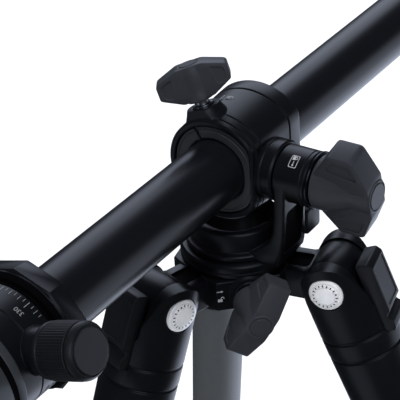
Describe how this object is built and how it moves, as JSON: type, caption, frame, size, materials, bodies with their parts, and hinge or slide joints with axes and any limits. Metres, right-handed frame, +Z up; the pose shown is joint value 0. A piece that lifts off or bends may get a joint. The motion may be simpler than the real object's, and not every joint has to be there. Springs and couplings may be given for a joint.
{
  "type": "camera tripod",
  "caption": "Travel tripod with collapsed legs, its centre column swung level on a side bracket, and a ball head with a quick-release clamp.",
  "frame": {"origin": "centre of the bounding box at the floor, under the feet", "axes": "+X along the level centre column towards its tail, away from the head; +Y away from the side bracket and the swing clamp knob; +Z up"},
  "size_m": [0.4944, 0.3372, 0.4813],
  "materials": {
    "satin_black": "satin black anodised casting",
    "column_black": "dark satin anodised tube",
    "leg_tube_grey": "satin grey anodised tube",
    "grey_alloy": "satin grey alloy",
    "black_plastic": "fine-grained black",
    "black_rubber": "ribbed black",
    "chrome_cap": "polished",
    "bright_steel": "turned",
    "level_vial": "clear green"
  },
  "bodies": {
    "shoulder": {"shoulder_hub": "satin_black", "pan_bearing_ring": "satin_black"},
    "pan_knob": {"pan_clamp_screw": "bright_steel", "pan_clamp_knob": "satin_black"},
    "swivel": {"swivel_bracket": "satin_black", "swivel_retainer": "black_plastic", "swing_catch": "black_plastic"},
    "collar": {"collar_housing": "satin_black", "collar_sleeve": "black_plastic", "pivot_ring": "satin_black", "pivot_bolt": "bright_steel", "tilt_trim_ring": "bright_steel"},
    "tilt_knob": {"tilt_knob": "satin_black"},
    "column_knob": {"column_clamp_screw": "bright_steel", "column_clamp_knob": "satin_black"},
    "column": {"center_column": "column_black", "column_tail_cap": "black_plastic", "head_flange": "satin_black", "head_mount_stud": "bright_steel", "head_step_ring": "black_plastic"},
    "ballast_ring": {"ballast_ring": "bright_steel"},
    "head": {"head_base": "satin_black", "head_housing": "grey_alloy"},
    "head_pan_knob": {"head_pan_knob": "satin_black"},
    "ball_lock_knob": {"ball_lock_knob": "satin_black"},
    "ball": {"head_ball": "bright_steel"},
    "clamp": {"clamp_body": "satin_black", "bubble_level": "level_vial"},
    "clamp_jaw": {"clamp_jaw": "satin_black"},
    "clamp_knob": {"clamp_knob": "satin_black"},
    "plate": {"quick_release_plate": "grey_alloy", "plate_pad": "black_rubber"},
    "camera_screw": {"camera_screw": "bright_steel"},
    "leg_1": {"leg_1_casting": "satin_black", "leg_1_hinge_pin": "chrome_cap", "leg_1_upper_tube": "leg_tube_grey"},
    "leg_1_tab": {"leg_1_angle_tab": "black_plastic"},
    "leg_1_upper_lock": {"leg_1_upper_lock": "black_rubber"},
    "leg_1_middle": {"leg_1_middle_tube": "leg_tube_grey"},
    "leg_1_lower_lock": {"leg_1_lower_lock": "black_rubber"},
    "leg_1_lower": {"leg_1_lower_tube": "leg_tube_grey", "leg_1_foot": "black_rubber"},
    "leg_2": {"leg_2_casting": "satin_black", "leg_2_hinge_pin": "chrome_cap", "leg_2_upper_tube": "leg_tube_grey"},
    "leg_2_tab": {"leg_2_angle_tab": "black_plastic"},
    "leg_2_upper_lock": {"leg_2_upper_lock": "black_rubber"},
    "leg_2_middle": {"leg_2_middle_tube": "leg_tube_grey"},
    "leg_2_lower_lock": {"leg_2_lower_lock": "black_rubber"},
    "leg_2_lower": {"leg_2_lower_tube": "leg_tube_grey", "leg_2_foot": "black_rubber"},
    "leg_3": {"leg_3_casting": "satin_black", "leg_3_hinge_pin": "chrome_cap", "leg_3_upper_tube": "leg_tube_grey"},
    "leg_3_tab": {"leg_3_angle_tab": "black_plastic"},
    "leg_3_upper_lock": {"leg_3_upper_lock": "black_rubber"},
    "leg_3_middle": {"leg_3_middle_tube": "leg_tube_grey"},
    "leg_3_lower_lock": {"leg_3_lower_lock": "black_rubber"},
    "leg_3_lower": {"leg_3_lower_tube": "leg_tube_grey", "leg_3_foot": "black_rubber"}
  },
  "joints": [
    {"name": "pan", "type": "hinge", "parent": "shoulder", "child": "swivel", "pos_m": [0.00085, 0.02777, 0.394], "axis": [0, 0, 1], "continuous": true},
    {"name": "pan_clamp_turn", "type": "hinge", "parent": "shoulder", "child": "pan_knob", "pos_m": [0.00085, 0.02777, 0.38231], "axis": [-0.7325, -0.6807, 0], "continuous": true},
    {"name": "column_swing", "type": "hinge", "parent": "swivel", "child": "collar", "pos_m": [0.00085, 0.02777, 0.43571], "axis": [0, 1, 0], "range_deg": [-20, 15]},
    {"name": "tilt_clamp_turn", "type": "hinge", "parent": "collar", "child": "tilt_knob", "pos_m": [0.00085, 0.02777, 0.43571], "axis": [0, -1, 0], "continuous": true},
    {"name": "column_slide", "type": "slide", "parent": "collar", "child": "column", "axis": [1, 0, 0], "range_m": [-0.195, 0.112]},
    {"name": "column_clamp_turn", "type": "hinge", "parent": "collar", "child": "column_knob", "pos_m": [-0.00535, 0.02777, 0.43571], "axis": [0, 0.342, 0.9397], "continuous": true},
    {"name": "ballast_ring_swing", "type": "hinge", "parent": "column", "child": "ballast_ring", "pos_m": [0.24315, 0.02777, 0.43571], "axis": [0, 1, 0], "range_deg": [-80, 12]},
    {"name": "head_pan", "type": "hinge", "parent": "column", "child": "head", "pos_m": [-0.14915, 0.02777, 0.43571], "axis": [-1, 0, 0], "continuous": true},
    {"name": "head_pan_clamp_turn", "type": "hinge", "parent": "head", "child": "head_pan_knob", "pos_m": [-0.15315, 0.02777, 0.43571], "axis": [0, -0.9397, 0.342], "continuous": true},
    {"name": "ball_clamp_turn", "type": "hinge", "parent": "head", "child": "ball_lock_knob", "pos_m": [-0.18665, 0.02777, 0.43571], "axis": [0, 0.9397, -0.342], "continuous": true},
    {"name": "ball_tilt", "type": "hinge", "parent": "head", "child": "ball", "pos_m": [-0.19665, 0.02777, 0.43571], "axis": [0, 1, 0], "range_deg": [-28, 90]},
    {"name": "platform_turn", "type": "hinge", "parent": "ball", "child": "clamp", "pos_m": [-0.22415, 0.02777, 0.43571], "axis": [-1, 0, 0], "continuous": true},
    {"name": "jaw_slide", "type": "slide", "parent": "clamp", "child": "clamp_jaw", "axis": [0, 1, 0], "range_m": [0, 0.003]},
    {"name": "jaw_screw_turn", "type": "hinge", "parent": "clamp_jaw", "child": "clamp_knob", "pos_m": [-0.22845, 0.02777, 0.44971], "axis": [0, 1, 0], "range_deg": [0, 1080]},
    {"name": "plate_slide", "type": "slide", "parent": "clamp", "child": "plate", "axis": [0, 0, 1], "range_m": [-0.012, 0.012]},
    {"name": "camera_screw_turn", "type": "hinge", "parent": "plate", "child": "camera_screw", "pos_m": [-0.23915, 0.02777, 0.43571], "axis": [-1, 0, 0], "continuous": true},
    {"name": "leg_1_spread", "type": "hinge", "parent": "shoulder", "child": "leg_1", "pos_m": [0.03418, 0.05875, 0.3839], "axis": [0.6807, -0.7325, 0], "range_deg": [-21, 55]},
    {"name": "leg_1_tab_pull", "type": "slide", "parent": "leg_1", "child": "leg_1_tab", "axis": [0.6834, 0.6351, 0.36], "range_m": [0, 0.005], "stiffness_N_per_m": 300},
    {"name": "leg_1_upper_lock_turn", "type": "hinge", "parent": "leg_1", "child": "leg_1_upper_lock", "pos_m": [0.03418, 0.05875, 0.3839], "axis": [0.2637, 0.2451, -0.933], "range_deg": [0, 90]},
    {"name": "leg_1_middle_slide", "type": "slide", "parent": "leg_1", "child": "leg_1_middle", "axis": [0.2637, 0.2451, -0.933], "range_m": [0, 0.21]},
    {"name": "leg_1_lower_lock_turn", "type": "hinge", "parent": "leg_1_middle", "child": "leg_1_lower_lock", "pos_m": [0.03418, 0.05875, 0.3839], "axis": [0.2637, 0.2451, -0.933], "range_deg": [0, 90]},
    {"name": "leg_1_lower_slide", "type": "slide", "parent": "leg_1_middle", "child": "leg_1_lower", "axis": [0.2637, 0.2451, -0.933], "range_m": [0, 0.21]},
    {"name": "leg_2_spread", "type": "hinge", "parent": "shoulder", "child": "leg_2", "pos_m": [-0.04264, 0.04115, 0.3839], "axis": [0.294, 0.9558, 0], "range_deg": [-21, 55]},
    {"name": "leg_2_tab_pull", "type": "slide", "parent": "leg_2", "child": "leg_2_tab", "axis": [-0.8917, 0.2743, 0.36], "range_m": [0, 0.005], "stiffness_N_per_m": 300},
    {"name": "leg_2_upper_lock_turn", "type": "hinge", "parent": "leg_2", "child": "leg_2_upper_lock", "pos_m": [-0.04264, 0.04115, 0.3839], "axis": [-0.3441, 0.1059, -0.933], "range_deg": [0, 90]},
    {"name": "leg_2_middle_slide", "type": "slide", "parent": "leg_2", "child": "leg_2_middle", "axis": [-0.3441, 0.1059, -0.933], "range_m": [0, 0.21]},
    {"name": "leg_2_lower_lock_turn", "type": "hinge", "parent": "leg_2_middle", "child": "leg_2_lower_lock", "pos_m": [-0.04264, 0.04115, 0.3839], "axis": [-0.3441, 0.1059, -0.933], "range_deg": [0, 90]},
    {"name": "leg_2_lower_slide", "type": "slide", "parent": "leg_2_middle", "child": "leg_2_lower", "axis": [-0.3441, 0.1059, -0.933], "range_m": [0, 0.21]},
    {"name": "leg_3_spread", "type": "hinge", "parent": "shoulder", "child": "leg_3", "pos_m": [0.01101, -0.01658, 0.3839], "axis": [-0.9748, -0.2233, 0], "range_deg": [-21, 55]},
    {"name": "leg_3_tab_pull", "type": "slide", "parent": "leg_3", "child": "leg_3_tab", "axis": [0.2083, -0.9094, 0.36], "range_m": [0, 0.005], "stiffness_N_per_m": 300},
    {"name": "leg_3_upper_lock_turn", "type": "hinge", "parent": "leg_3", "child": "leg_3_upper_lock", "pos_m": [0.01101, -0.01658, 0.3839], "axis": [0.0804, -0.3509, -0.933], "range_deg": [0, 90]},
    {"name": "leg_3_middle_slide", "type": "slide", "parent": "leg_3", "child": "leg_3_middle", "axis": [0.0804, -0.3509, -0.933], "range_m": [0, 0.21]},
    {"name": "leg_3_lower_lock_turn", "type": "hinge", "parent": "leg_3_middle", "child": "leg_3_lower_lock", "pos_m": [0.01101, -0.01658, 0.3839], "axis": [0.0804, -0.3509, -0.933], "range_deg": [0, 90]},
    {"name": "leg_3_lower_slide", "type": "slide", "parent": "leg_3_middle", "child": "leg_3_lower", "axis": [0.0804, -0.3509, -0.933], "range_m": [0, 0.21]}
  ],
  "couplings": [
    {"joint": "jaw_screw_turn", "follows": "jaw_slide", "rad_per_m": 6283.2}
  ]
}
